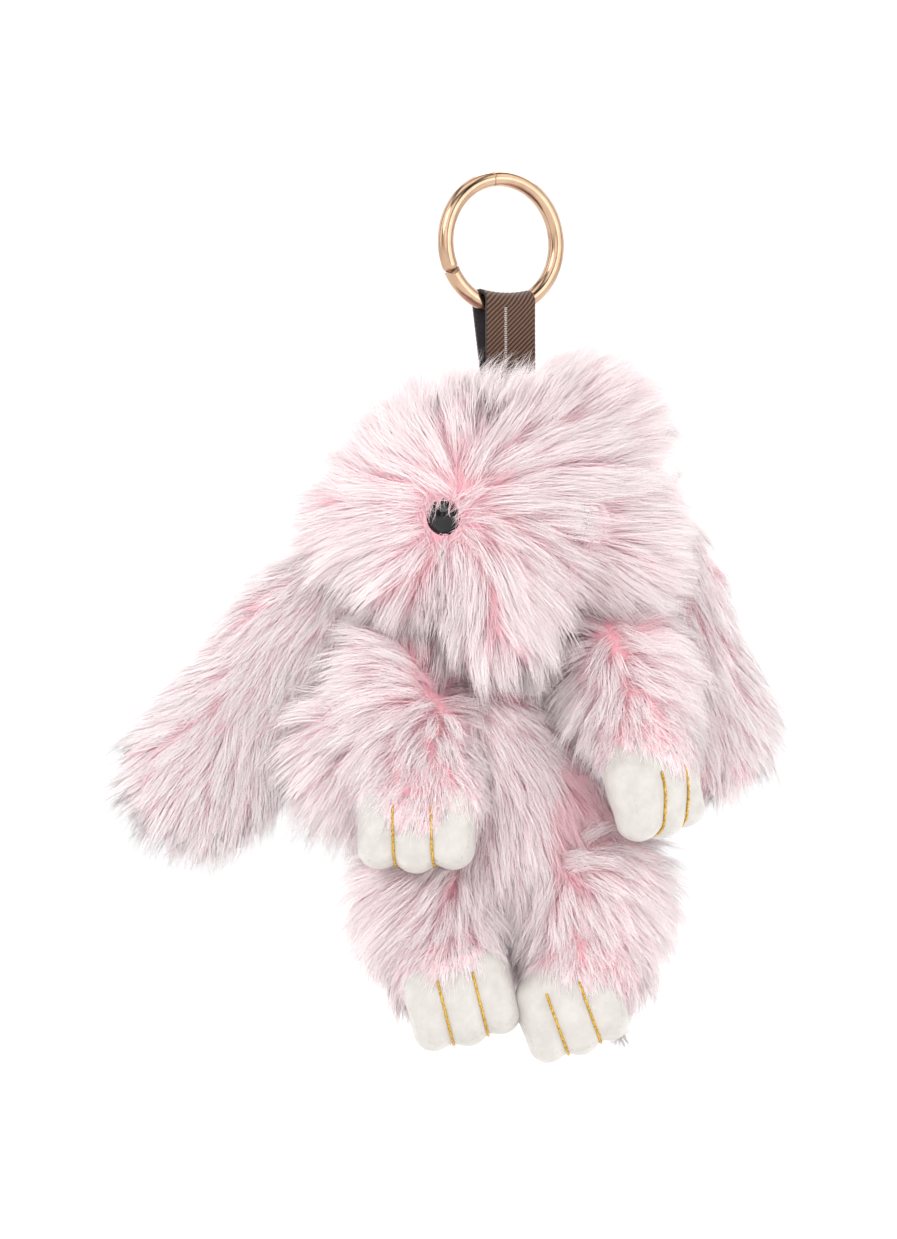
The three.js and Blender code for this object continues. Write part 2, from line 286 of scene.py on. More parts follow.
def make_stage():
    """A pale floor that sweeps up into a backdrop"""
    bend = [(STAGE_BACK - STAGE_BEND * (1 - math.sin(a)), FLOOR + STAGE_BEND * (1 - math.cos(a)))
            for a in np.linspace(0, math.pi / 2, BEND_POINTS)]
    profile = [(STAGE_FRONT, FLOOR), *bend, (STAGE_BACK, STAGE_TOP)]
    mesh = bpy.data.meshes.new("floor")
    points = [(x, y, z) for y, z in profile for x in (-STAGE_SIDE, STAGE_SIDE)]
    faces = [(2 * i, 2 * i + 1, 2 * i + 3, 2 * i + 2) for i in range(len(profile) - 1)]
    mesh.from_pydata(points, [], faces)
    for face in mesh.polygons:
        face.use_smooth = True
    paper = mottled("pale_paper", 40, "#FCFCFC", "#FFFFFF", Roughness=0.9, Specular_IOR_Level=0.1)
    mesh.materials.append(paper)
    link(bpy.data.objects.new("floor", mesh))


make_camera()
make_lights()
make_stage()


# ---- Meshes from arrays ----------------------------------------------------------------------
def mesh_object(name, points, faces, material):
    """A smooth-shaded mesh; points are in millimetres, and faces is an (n, 3) or (n, 4) array"""
    faces = np.asarray(faces, np.int32)
    sides = faces.shape[1]
    mesh = bpy.data.meshes.new(name)
    mesh.vertices.add(len(points))
    mesh.vertices.foreach_set("co", (np.asarray(points) * MM).astype(np.float32).ravel())
    mesh.loops.add(faces.size)
    mesh.loops.foreach_set("vertex_index", faces.ravel())
    mesh.polygons.add(len(faces))
    mesh.polygons.foreach_set("loop_start", np.arange(0, faces.size, sides, dtype=np.int32))
    mesh.polygons.foreach_set("loop_total", np.full(len(faces), sides, np.int32))
    mesh.polygons.foreach_set("use_smooth", np.full(len(faces), True))
    mesh.update(calc_edges=True)
    mesh.materials.append(material)
    return link(bpy.data.objects.new(name, mesh))


def mark(mesh, name, values):
    """Stores a number on each point of a mesh, for its material to read"""
    layer = mesh.attributes.new(name, "FLOAT", "POINT")
    layer.data.foreach_set("value", values.ravel().astype(np.float32))


def icosphere(subdivisions):
    ball = bmesh.new()
    bmesh.ops.create_icosphere(ball, subdivisions=subdivisions, radius=1)
    points = np.array([v.co for v in ball.verts])
    faces = np.array([[v.index for v in f.verts] for f in ball.faces])
    ball.free()
    return points, faces


def copies(faces, count, corners):
    """The triangles of count copies of a shape that has this many corners"""
    return (np.array(faces)[None] + (np.arange(count) * corners)[:, None, None]).reshape(-1, 3)


def grid_faces(rows, columns):
    """Quads over a rows x columns grid of points whose rows close on themselves"""
    r, c = (a.ravel() for a in np.meshgrid(np.arange(rows - 1), np.arange(columns), indexing="ij"))
    here, below, after = r * columns, (r + 1) * columns, (c + 1) % columns
    return np.stack([here + c, here + after, below + after, below + c], 1)


def split(quads):
    """Each quad as two triangles"""
    return np.concatenate([quads[:, [0, 1, 2]], quads[:, [0, 2, 3]]])


def distances(path):
    """How far along a path each of its points lies"""
    return np.append(0, np.cumsum(np.linalg.norm(np.diff(path, axis=0), axis=1)))


def resample(values, steps, at):
    """Vectors known at steps along a path, worked out at other places along it"""
    return np.stack([np.interp(at, steps, column) for column in values.T], 1)


def wear(obj, body, slot, *nodes):
    """obj rides on body and stands for CAD nodes; slot is not used"""
    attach(obj, body)
    if nodes:
        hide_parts(*nodes)
    return obj


# ---- Forms: smooth shapes given by their distance fields --------------------------------------
HALVINGS = 24                     # of the range in which a ray leaves a form


def ellipsoid(centre, radii):
    centre, radii = np.array(centre, float), np.array(radii, float)

    def distance(p):
        q = (p - centre) / radii
        k = np.linalg.norm(q, axis=1)
        return k * (k - 1) / np.maximum(np.linalg.norm(q / radii, axis=1), 1e-9)
    return distance


def taper(start, end, r0, r1, flatness=1.0):
    """A round-ended cone between two points, flattened from front to back"""
    start, end = np.array(start, float), np.array(end, float)
    run = end - start
    front = np.array([0.0, 1.0, 0.0])
    thin = unit(front - (front @ run) / (run @ run) * run)

    def distance(p):
        p = p - start
        p = p + (1 / flatness - 1) * (p @ thin)[:, None] * thin
        t = np.clip(p @ run / (run @ run), 0, 1)
        return np.linalg.norm(p - t[:, None] * run, axis=1) - (r0 + (r1 - r0) * t)
    return distance


class Form:
    """A smooth union of distance fields, meshed by looking out from an inner point"""

    def __init__(self, centre, fields, blend, detail=5, reach=(1, 1, 1), axes=None):
        self.fields, self.blend = fields, blend
        ways, self.faces = icosphere(detail)
        ways = ways * reach
        if axes is not None:
            ways = ways @ np.array(axes)
        self.points = self.cast(np.array(centre, float), unit(ways))
        self.normals = self.normal(self.points)

    def cast(self, start, ways, furthest=120.0):
        """Where rays from inside the form leave it"""
        near, far = np.zeros(len(ways)), np.full(len(ways), furthest)
        for _ in range(HALVINGS):
            middle = (near + far) / 2
            inside = self.distance(start + ways * middle[:, None]) < 0
            near, far = np.where(inside, middle, near), np.where(inside, far, middle)
        return start + ways * near[:, None]

    def distance(self, p):
        fields = np.stack([field(p) for field in self.fields])
        return -self.blend * np.log(np.sum(np.exp(np.clip(-fields / self.blend, -60, 60)), axis=0))

    def normal(self, p, step=0.2):
        slope = [self.distance(p + step * axis) - self.distance(p - step * axis) for axis in np.eye(3)]
        return unit(np.stack(slope, 1))

    def scatter(self, density, rng, weight):
        """Points on the form and their normals, density x weight of them to a square millimetre"""
        a, b, c = (self.points[self.faces[:, i]] for i in range(3))
        share = np.linalg.norm(np.cross(b - a, c - a), axis=1) / 2 * weight((a + b + c) / 3)
        count = int(density * share.sum())
        pick = rng.choice(len(share), count, p=share / share.sum())
        u, v = rng.random(count), rng.random(count)
        fold = u + v > 1
        u, v = np.where(fold, 1 - u, u)[:, None], np.where(fold, 1 - v, v)[:, None]
        at = a[pick] * (1 - u - v) + b[pick] * u + c[pick] * v
        n = [self.normals[self.faces[pick, i]] for i in range(3)]
        return at, unit(n[0] * (1 - u - v) + n[1] * u + n[2] * v)


# ---- Fur -------------------------------------------------------------------------------------
SIDES = 3                         # sides of a strand
PATH = 13                         # points along a worked-out path, before it is thinned
COARSE_WAVE, FINE_WAVE = 18, 7    # millimetres: the two sizes of the flow's wander
STRAY_SHARE = 0.35                # of the strands keep out of their wisp
STRAY_FRAY, FRAY, KINK = 1.4, 0.5, 0.4
ROOT_DEPTH = 0.4                  # how far a strand starts under the pelt
CLEARANCE = 0.25                  # between a strand and a solid piece that it is lifted off
DEEPEST = 3.0                     # a strand that goes further than this into a solid piece is left out
TAPER = 0.65                      # how much thinner a strand's last ring is
COAT_SHADING = 0.5                # how far a strand is shaded as the coat rather than as itself
DENSITY = 5.0                     # top-coat strands on a square millimetre of pelt
TOP_RINGS, UNDER_RINGS = 3, 2
TOP_RADIUS, UNDER_RADIUS = 0.062, 0.085
UNDER_SHARE, UNDER_LENGTH = 0.4, 0.6
MOST_STRANDS = 12000              # in one piece

PINK = fur_material("pink_fur", "#FBDDE2", "#FDF1F2", "#FFFCFB", "#FCE8EB")
PALE = fur_material("pale_fur", "#FCE6E9", "#FDF5F6", "#FFFDFC", "#FCF0F2")
# Deeper pink fur for the crease between chest and arm: painted shade
DEEP = fur_material("valley_shade_fur", "#F3AFBB", "#F9CDD4", "#FCE6E9", "#F6BEC8")
EYE_FUR = fur_material("eye_fur", "#F0A8B5", "#F9D6DC", "#FDF3F3", "#F6C3CC")
# Undercoat and pelt: the fur's pink, deepened by painted shade for the bottom of the coat
UNDERCOAT = fur_material("undercoat", "#F4B0BC", "#F9C9D1", "#FCD9DF", "#F7C0CA")
PELT = mottled("pelt_backing", 900, "#EFA3B0", "#F6BFC9", (1500, 0.5, 0.0004), Roughness=0.9)


def everywhere(value):
    return lambda p: np.full(len(p), float(value))


# lock and wisp are how many strands share one; pull draws a wisp in towards its lock at the tip.
COAT = {"weight": everywhere(1), "length": everywhere(13), "lift": everywhere(0.6), "lock": 50,
        "wisp": 7, "pull": 0.1, "droop": 0.3, "rough": 0.2, "top": PINK}


def wobble(points, size, rng, waves=5):
    """A smooth random vector field: a few plane waves about size long"""
    total = np.zeros_like(points)
    for _ in range(waves):
        way = unit(rng.normal(size=3)) * 2 * math.pi / size
        phase = rng.uniform(0, 2 * math.pi, 3)
        total += np.sin((points @ way)[:, None] + phase)
    return total / math.sqrt(waves)


def nearest(points, centres):
    tree = KDTree(len(centres))
    for i, c in enumerate(centres):
        tree.insert(c, i)
    tree.balance()
    return np.array([tree.find(p)[1] for p in points])


def lie(roots, normals, flow, length, coat, rng):
    """Paths that leave the pelt, lie over along the flow and droop"""
    rough = coat["rough"]
    flow = flow + rough * wobble(roots, COARSE_WAVE, rng) + 0.5 * rough * wobble(roots, FINE_WAVE, rng)
    flow = unit(flow - np.sum(flow * normals, axis=1, keepdims=True) * normals)
    lift = (coat["lift"](roots) * (1 + 0.12 * rng.normal(size=len(roots))))[:, None]
    path = [roots]
    for k in range(PATH - 1):
        s = (k + 0.5) / (PATH - 1)
        way = normals * lift * (1 - 0.6 * s) + flow * (0.35 + 0.65 * s) - UP * coat["droop"] * s
        path.append(path[-1] + unit(way) * (length / (PATH - 1))[:, None])
    return np.stack(path, 1)


def gather(children, parents, paths, pull, own):
    """Each child's path follows its parent's, and closes on it by pull towards the tip"""
    s = np.linspace(0, 1, PATH)[None, :, None]
    start = paths[:, :1]
    offset = (children - parents)[:, None]
    return start + own[:, None, None] * (paths - start) + offset * (1 - pull * s ** 1.2)


def loosen(stray, rng):
    """Small bends that keep neighbouring strands apart, most of all in strays"""
    s = np.linspace(0, 1, PATH)[None, :, None]
    fray = rng.normal(size=(len(stray), 3)) * np.where(stray, STRAY_FRAY, FRAY)[:, None]
    kink = rng.normal(size=(len(stray), 3)) * KINK
    return fray[:, None] * s ** 2 + kink[:, None] * np.sin(math.pi * s)


def grow(form, coat, density, rng):
    """Strand paths of one coat, the tone of each, and the pelt's normals and places at their roots"""
    roots, normals = form.scatter(density, rng, coat["weight"])
    count = len(roots)
    locks = rng.choice(count, max(count // coat["lock"], 1), replace=False)
    wisps = rng.choice(count, max(count // coat["wisp"], 1), replace=False)
    lock_length = coat["length"](roots)[locks] * rng.uniform(0.85, 1.12, len(locks))
    paths = lie(roots[locks], normals[locks], coat["flow"](roots[locks]), lock_length, coat, rng)
    of = nearest(roots[wisps], roots[locks])
    own = rng.uniform(0.85, 1.08, len(wisps))
    paths = gather(roots[wisps], roots[locks][of], paths[of], coat["pull"], own)
    of = nearest(roots, roots[wisps])
    stray = rng.random(count) < STRAY_SHARE
    pull = np.where(stray, 0.0, rng.uniform(0.0, 0.4, count))[:, None, None]
    own = rng.uniform(0.68, 1.08, count)
    strands = gather(roots, roots[wisps][of], paths[of], pull, own)
    strands = strands + loosen(stray, rng) - normals[:, None] * ROOT_DEPTH
    tone = rng.random(len(wisps))[of] * 0.6 + rng.random(count) * 0.4
    return strands, tone, normals, roots


def stay_clear(strands, solids):
    """Lifts strands off nearby solid pieces, and says which ones don't run deep into one"""
    points = strands.reshape(-1, 3)
    deep = np.zeros(len(points), bool)
    for solid in solids:
        low, high = solid.points.min(0) - CLEARANCE, solid.points.max(0) + CLEARANCE
        close = np.flatnonzero(np.all((points > low) & (points < high), axis=1))
        gap = solid.distance(points[close])
        deep[close] |= gap < -DEEPEST
        close, gap = close[gap < CLEARANCE], gap[gap < CLEARANCE]
        if len(close):
            points[close] += solid.normal(points[close]) * (CLEARANCE - gap)[:, None]
    strands[:] = points.reshape(strands.shape)
    return ~deep.reshape(len(strands), -1).any(axis=1)


def strand_faces(rings):
    """One strand's triangles: its base, its sides and its tip"""
    faces = [(2, 1, 0)]
    for k in range(rings - 1):
        for j in range(SIDES):
            a, b = k * SIDES + j, k * SIDES + (j + 1) % SIDES
            faces += [(a, b, b + SIDES), (a, b + SIDES, a + SIDES)]
    last = (rings - 1) * SIDES
    return faces + [(last + j, last + (j + 1) % SIDES, last + SIDES) for j in range(SIDES)]


def strand_points(paths, normals, radius, rings):
    """Each strand's rings of points and its tip, and the way that each point is shaded"""
    along = unit(np.gradient(paths, axis=1))
    side = unit(np.cross(along, UP + 0.01))
    up = np.cross(along, side)
    size = radius[:, None] * (1 - TAPER * (np.arange(rings) / rings) ** 1.5)[None]
    points, shading = [], []
    for angle in 2 * math.pi * np.arange(SIDES) / SIDES:
        out = (math.cos(angle) * side + math.sin(angle) * up)[:, :rings]
        points.append(paths[:, :rings] + out * size[..., None])
        shading.append(out)
    points, shading = (np.stack(v, 2).reshape(len(paths), -1, 3) for v in (points, shading))
    points = np.concatenate([points, paths[:, -1:]], axis=1)
    shading = np.concatenate([shading, along[:, -1:]], axis=1)
    return points, unit(COAT_SHADING * normals[:, None] + (1 - COAT_SHADING) * shading)


def strand_mesh(name, paths, tone, normals, rings, radius, material):
    """Closed tapered solids, one for each path, shaded partly as the coat they make"""
    count, corners = len(paths), rings * SIDES + 1
    stations = np.linspace(0, PATH - 1, rings + 1).round().astype(int)
    points, shading = strand_points(paths[:, stations], normals, radius, rings)
    faces = copies(strand_faces(rings), count, corners)
    obj = mesh_object(name, points.reshape(-1, 3), faces, material)
    height = np.append(np.repeat(np.arange(rings) / rings, SIDES), 1.0)
    mark(obj.data, "along", np.tile(height, count))
    mark(obj.data, "tone", np.repeat(tone, corners))
    own_normals = obj.data.attributes.new("custom_normal", "FLOAT_VECTOR", "POINT")
    own_normals.data.foreach_set("vector", shading.astype(np.float32).ravel())
    return obj


def cover(name, body, form, coat, panels, seed, solids):
    """The undercoat and top coat of one sewn piece, cut into panels"""
    coat = {**COAT, **coat}
    layers = {"topcoat": (1.0, 1.0, TOP_RINGS, TOP_RADIUS, coat["top"]),
              "undercoat": (UNDER_SHARE, UNDER_LENGTH, UNDER_RINGS, UNDER_RADIUS, UNDERCOAT)}
    for j, (layer, (share, shortness, rings, radius, material)) in enumerate(layers.items()):
        rng = np.random.default_rng([seed, j])
        made = dict(coat, length=lambda p, by=shortness: coat["length"](p) * by)
        strands, tone, normals, roots = grow(form, made, DENSITY * share, rng)
        thickness = radius * rng.uniform(0.75, 1.2, len(strands))
        left = stay_clear(strands, solids)
        for panel, test in panels.items():
            mine = np.flatnonzero(left & test(roots))
            left[mine] = False
            parts = math.ceil(len(mine) / MOST_STRANDS)
            for part, some in enumerate(np.array_split(mine[np.argsort(roots[mine, 0])], parts), 1):
                number = str(part) if parts > 1 else ""
                label = "_".join(filter(None, (name, panel, layer, number)))
                hair = strand_mesh(label, strands[some], tone[some], normals[some], rings,
                                   thickness[some], material)
                wear(hair, body, "fur")


def furry(name, body, form, node, coat, panels, seed, solids):
    """One stuffed piece: its pelt and its fur"""
    skin = wear(mesh_object(f"{name}_pelt", form.points, form.faces, PELT), body, "fur", node)
    cover(name, body, form, coat, panels, seed, solids)


def away(centre, bias):
    """A flow that leaves a parting on all sides, and leans one way"""
    return lambda p: unit(p - np.array(centre)) + np.array(bias)


# ---- Paws ------------------------------------------------------------------------------------
# turn, lean and tilt set a paw as in the CAD frame, and size holds its three half sizes.
PAWS = {
    "front_paw_right": dict(body="arm_right", size=(12.8, 8.5, 11.8), turn=-10, lean=0, tilt=8),
    "front_paw_left": dict(body="arm_left", size=(11.8, 8.5, 12.0), turn=48, lean=-10, tilt=8),
    "hind_paw_right": dict(body="leg_right", size=(11.8, 8.5, 12.0), turn=0, lean=-14, tilt=12),
    "hind_paw_left": dict(body="leg_left", size=(11.4, 8.5, 11.8), turn=0, lean=-20, tilt=12),
}
LEATHER = mottled("paw_leather", 260, "#BEB9B4", "#CAC5C0", (2600, 0.12, 0.0003), Roughness=0.42,
                  Specular_IOR_Level=0.45)
GOLD_THREAD = mottled("gold_thread", 2400, "#8A6420", "#E9BE4A", (4000, 0.4, 0.0002), Roughness=0.35,
                      Metallic=0.5)
SEAM_THREAD = mottled("seam_thread", 3000, "#B0ABA6", "#CBC7C2", Roughness=0.7)
CREASE_ARC, CREASE_POINTS = (158, 272), 40      # degrees, from the paw's upper front to its underside
CORD_RADIUS, CORD_TWIST, CORD_STEP = 0.33, 1.5, 0.16
CORD_STANDS = 0.22                              # the cord's middle, out from the leather
TUBE_SIDES = 14
EDGE_ARC, EDGE_POINTS = (185, 355), 90          # degrees, round the paw's lower edge
EDGE_FORWARD = -4.2                             # how far the edge's row leans to the front
EDGE_PITCH, EDGE_STITCH = 1.25, (0.75, 0.22, 0.18)


def turned(turn=0, lean=0, tilt=0):
    """Rotation about Z by turn, after Y by lean, after X by -tilt"""
    a, b, c = (math.radians(v) for v in (turn, lean, -tilt))
    about_z = np.array([[math.cos(a), -math.sin(a), 0], [math.sin(a), math.cos(a), 0], [0, 0, 1]])
    about_y = np.array([[math.cos(b), 0, math.sin(b)], [0, 1, 0], [-math.sin(b), 0, math.cos(b)]])
    about_x = np.array([[1, 0, 0], [0, math.cos(c), -math.sin(c)], [0, math.sin(c), math.cos(c)]])
    return about_z @ about_y @ about_x


class Placed:
    """A form in its own frame, set at a place and a turn"""

    def __init__(self, form, at, rotation):
        self.form, self.at, self.rotation = form, at, rotation
        self.points = form.points @ rotation.T + at
        self.faces = form.faces

    def local(self, p):
        return (p - self.at) @ self.rotation

    def distance(self, p):
        return self.form.distance(self.local(p))

    def normal(self, p):
        return self.form.normal(self.local(p)) @ self.rotation.T

    def out(self, p):
        return p @ self.rotation.T + self.at


def paw_form(size):
    """A mitt with three toes along its lower edge, in its own frame"""
    a, b, c = size
    pitch = 2 * a / 3
    toe = pitch * 0.56
    fields = [ellipsoid((0, 0.3, 1.2), (a * 0.96, b * 0.92, c * 0.9))]
    for side, reach in ((-1, 0.93), (0, 1.0), (1, 0.93)):
        start = (side * pitch * 0.94, -b * 0.12, c * 0.25)
        end = (side * pitch * 0.96, -b * 0.1, -c * reach + toe)
        fields.append(taper(start, end, toe, toe, flatness=1.2))
    return Form(np.zeros(3), fields, blend=0.7, detail=6)


def tube(path, section):
    """Rings of points along a path; section(i, angles) gives the radius round the path at point i"""
    angles = np.linspace(0, 2 * math.pi, TUBE_SIDES, endpoint=False)
    along = unit(np.gradient(path, axis=0))
    side = unit(np.cross(along, along[:, [1, 2, 0]] + 0.3))
    up = np.cross(along, side)
    rows = [path[i] + section(i, angles)[:, None] *
            (np.cos(angles)[:, None] * side[i] + np.sin(angles)[:, None] * up[i])
            for i in range(len(path))]
    return np.concatenate(rows)


def cord(name, path, material):
    """Two strands twisted round each other along a path, with round ends"""
    steps = distances(path)
    even = np.linspace(0, steps[-1], int(steps[-1] / CORD_STEP))
    path = resample(path, steps, even)
    ends = np.sqrt(np.clip(np.minimum(even, even[-1] - even) / CORD_RADIUS, 0.02, 1))

    def section(i, angles):
        lobes = np.abs(np.cos(angles - math.pi * even[i] / CORD_TWIST))
        return CORD_RADIUS * ends[i] * (0.62 + 0.38 * lobes)
    last = (len(path) - 1) * TUBE_SIDES
    caps = [(0, j + 1, j) for j in range(1, TUBE_SIDES - 1)]
    caps += [(last, last + j, last + j + 1) for j in range(1, TUBE_SIDES - 1)]
    faces = np.concatenate([split(grid_faces(len(path), TUBE_SIDES)), np.array(caps)])
    return mesh_object(name, tube(path, section), faces, material)


def stitches(name, path, normals, pitch, size, material):
    """A row of stitches half sunk in a surface; size is along the row, across it and proud of it"""
    steps = distances(path)
    at = np.arange(pitch / 2, steps[-1], pitch)
    here = resample(path, steps, at)
    facing = unit(resample(normals, steps, at))
    way = unit(resample(np.gradient(path, steps, axis=0), steps, at))
    across = np.cross(facing, way)
    ball, faces = icosphere(2)
    x, y, z = (ball * size / 2).T[:, None, :, None]
    points = here[:, None] + x * way[:, None] + y * across[:, None] + z * facing[:, None]
    return mesh_object(name, points.reshape(-1, 3), copies(faces, len(at), len(ball)), material)


def make_toe_cords(name, body, paw, half_width):
    """The two gold cords laid in the creases between the toes"""
    pitch = 2 * half_width / 3
    angles = np.radians(np.linspace(*CREASE_ARC, CREASE_POINTS))
    ways = np.stack([np.zeros(CREASE_POINTS), np.cos(angles), np.sin(angles)], 1)
    for which, side in (("outer", -1), ("inner", 1)):
        start = np.array([side * pitch / 2, 0, 0])
        path = paw.form.cast(start, ways) + ways * CORD_STANDS
        thread = cord(f"{name}_{which}_cord", paw.out(path), GOLD_THREAD)
        wear(thread, body, "gold_thread", f"{name}_thread_{which}")


def make_edge_stitching(name, body, paw, size):
    around = np.radians(np.linspace(*EDGE_ARC, EDGE_POINTS))
    forward = np.full(EDGE_POINTS, EDGE_FORWARD)
    ways = unit(np.stack([np.cos(around) * size[0], forward, np.sin(around) * size[2]], 1))
    path = paw.out(paw.form.cast(np.zeros(3), ways))
    row = stitches(name + "_edge_stitching", path, paw.normal(path), EDGE_PITCH, EDGE_STITCH, SEAM_THREAD)
    wear(row, body, "paw_leather")


def make_paw(name, body, size, turn, lean, tilt):
    rotation = turned(turn, lean, tilt)
    extent = np.linalg.norm(rotation * np.array(size), axis=1)
    low, _ = box_mm(name)
    paw = Placed(paw_form(size), low + extent, rotation)
    skin = wear(mesh_object(name + "_mitt", paw.points, paw.faces, LEATHER), body, "paw_leather", name)
    make_toe_cords(name, body, paw, size[0])
    make_edge_stitching(name, body, paw, size)
    return paw


PAW_FORMS = {name: make_paw(name, **spec) for name, spec in PAWS.items()}

# ---- Eyes ------------------------------------------------------------------------------------
EYE_TURNS = {"right": -38, "left": 48}
EYE_SIZE = np.array([5.0, 3.9, 5.0])
WASHER_DEPTH = 3.6


def eye_material():
    """A glossy black, faintly clouded"""
    material = Material("eye_bead", Roughness=0.08, Specular_IOR_Level=0.3, Coat_Weight=0.2,
                        Coat_Roughness=0.02)
    cloud = material.noise(material.where(), 300, 3)
    material.colour(material.ramp(cloud, (0.3, "#08080A"), (0.8, "#17151A")))
    return material.block


EYE_BEAD = eye_material()


def make_eye(side):
    rotation = turned(EYE_TURNS[side])
    facing = rotation @ np.array([0, -1, 0])
    at = middle_mm(f"eye_washer_{side}") + WASHER_DEPTH * facing
    ball = Form(np.zeros(3), [ellipsoid((0, 0, 0), EYE_SIZE)], blend=0.5)
    eye = Placed(ball, at, rotation)
    bead = mesh_object(f"eye_bead_{side}", eye.points, eye.faces, EYE_BEAD)
    wear(bead, "head", "eye_bead", f"eye_{side}")
    return eye


EYES = {side: make_eye(side) for side in EYE_TURNS}


# ---- Head ------------------------------------------------------------------------------------
head_low, head_high = box_mm("head_cover")
MIDDLE = (head_low[0] + head_high[0]) / 2
CROWN = np.array([MIDDLE, 2.0, head_high[2] - 27])
PARTING = EYES["right"].at + (1.5, -3.0, -0.5)      # the face's fur leaves this point on all sides
SOLIDS = [*PAW_FORMS.values(), *EYES.values()]
REST = {"": lambda p: np.full(len(p), True)}            # one unnamed panel for all the fur that is left
EYE_RIM, LID_REACH = 4.6, 7.2                       # from an eye's middle: where fur starts, and lids end
FACE_FRONT, BROW, CHEEK_BACK = -8, -60, 12          # where the head's panels are cut


def eye_gap(p):
    return np.min([np.linalg.norm(p - eye.at, axis=1) for eye in EYES.values()], axis=0)


def head_flow(p):
    behind = ease(p[:, 1], 6, 26)[:, None]
    return unit((p - PARTING) * (1, 0.7, 1)) * (1 - 0.8 * behind) + behind * np.array([0, 0.1, -0.9])


def head_length(p):
    muzzle = ease(-p[:, 2], 95, 104)
    near_eye = ease(np.linalg.norm(p - EYES["right"].at, axis=1), 4, 12)
    return (15.5 - 2.5 * muzzle) * (0.4 + 0.6 * near_eye)


def head_lift(p):
    """The crown's fur stands up, except where it lies round the webbing"""
    from_webbing = np.linalg.norm((p - pivot_mm("crown_flex"))[:, :2], axis=1)
    return 0.45 + 0.45 * ease(p[:, 2], -66, -50) * ease(from_webbing, 6, 16)


def in_face(p):
    return (p[:, 1] < FACE_FRONT) & (p[:, 2] < BROW)


HEAD_PANELS = {
    "face_right": lambda p: in_face(p) & (p[:, 0] < MIDDLE - 6),
    "face_left": lambda p: in_face(p) & (p[:, 0] > MIDDLE + 8),
    "muzzle": in_face,
    "crown_right": lambda p: (p[:, 2] > BROW) & (p[:, 0] < MIDDLE),
    "crown_left": lambda p: p[:, 2] > BROW,
    "cheek_right": lambda p: (p[:, 1] < CHEEK_BACK) & (p[:, 0] < MIDDLE),
    "cheek_left": lambda p: p[:, 1] < CHEEK_BACK,
    "nape": REST[""],
}


def toward_eye(p):
    eye = np.where(p[:, :1] < MIDDLE, EYES["right"].at, EYES["left"].at)
    return unit(eye - p) * (0.5, 0.5, 0.1) - UP * 0.35


def lid_length(p):
    """Short round the right eye, which shows, and long over the left one, which the fur covers"""
    return np.where(p[:, 0] < MIDDLE, 3.9, 9.5)


def make_head():
    fields = [ellipsoid(CROWN, (33, 27, 23.5)), ellipsoid(CROWN + (18, 2, 13), (13.5, 16, 14)),
              ellipsoid(CROWN + (-27, -1, -6), (12, 14, 12)),
              ellipsoid(CROWN + (-15, -11, -13), (14, 11, 11)),
              ellipsoid(CROWN + (25, -4, -9), (12, 14, 13)),
              taper(CROWN + (1, -14, -12), CROWN + (1, -21, -28), 13, 7.5)]
    form = Form(CROWN + (1, -4, -8), fields, blend=2.0)
    coat = dict(weight=lambda p: (eye_gap(p) > EYE_RIM) + 1e-9, length=head_length, flow=head_flow,
                lift=head_lift)
    furry("head", "head", form, "head_cover", coat, HEAD_PANELS, 1, SOLIDS)
    lids = dict(weight=lambda p: (eye_gap(p) < LID_REACH) & (eye_gap(p) > EYE_RIM), flow=toward_eye,
                length=lid_length, lift=everywhere(0.6), rough=0.35, pull=0.0, top=EYE_FUR)
    cover("eyelids", "head", form, lids, REST, 5, SOLIDS)


make_head()


# ---- Ears ------------------------------------------------------------------------------------
EARS = {                          # radii are at the root, the neck and the tip
    "right": dict(tip=(-65.5, -1, -129), radii=(8, 12, 15), seed=2),
    "left": dict(tip=(45, 14, -119), radii=(5, 7, 14), seed=3),
}
EAR_NECK = 14                     # from an ear's root to where it widens
EAR_SPREAD = 13                   # this far off an ear's middle line, its fur leans out by EAR_SPLAY
EAR_SPLAY = 0.75


def make_ear(side, tip, radii, seed):
    root, tip = pivot_mm(f"ear_{side}_lift"), np.array(tip, float)
    run = unit(tip - root)
    across = unit(np.cross(run, (0, 1, 0)))
    neck = root + run * EAR_NECK
    fields = [taper(root, neck, *radii[:2], flatness=0.5), taper(neck, tip, *radii[1:], flatness=0.36)]
    form = Form((root + tip) / 2, fields, blend=2.0, reach=(15, 7, 36),
                axes=[across, np.cross(across, run), run])

    def flow(p):
        off = (p - root) @ across
        return run + across * (off / EAR_SPREAD)[:, None] * EAR_SPLAY - UP * 0.1

    def front(p):
        along = (p - root) @ run / np.linalg.norm(tip - root)
        return p[:, 1] < root[1] + along * (tip[1] - root[1])

    coat = dict(flow=flow, length=everywhere(11.5), lift=everywhere(0.4), droop=0.2, top=PALE)
    panels = {"front": front, "back": REST[""]}
    furry(f"ear_{side}", f"ear_{side}", form, f"ear_{side}", coat, panels, seed, SOLIDS)


for side, spec in EARS.items():
    make_ear(side, **spec)


# ---- Torso -----------------------------------------------------------------------------------
VALLEY, VALLEY_HALF = 15.0, 6     # the strip of deep pink between chest and arm, along X: painted shade in the crease
VALLEY_FOOT = 10                  # the strip's lower end, up from the torso's
CHEST_FLOW = away((-9, -14, -112), (0, 0, -0.6))
BACK_FLOW = away((0, 20, -100), (0, 0, -0.9))


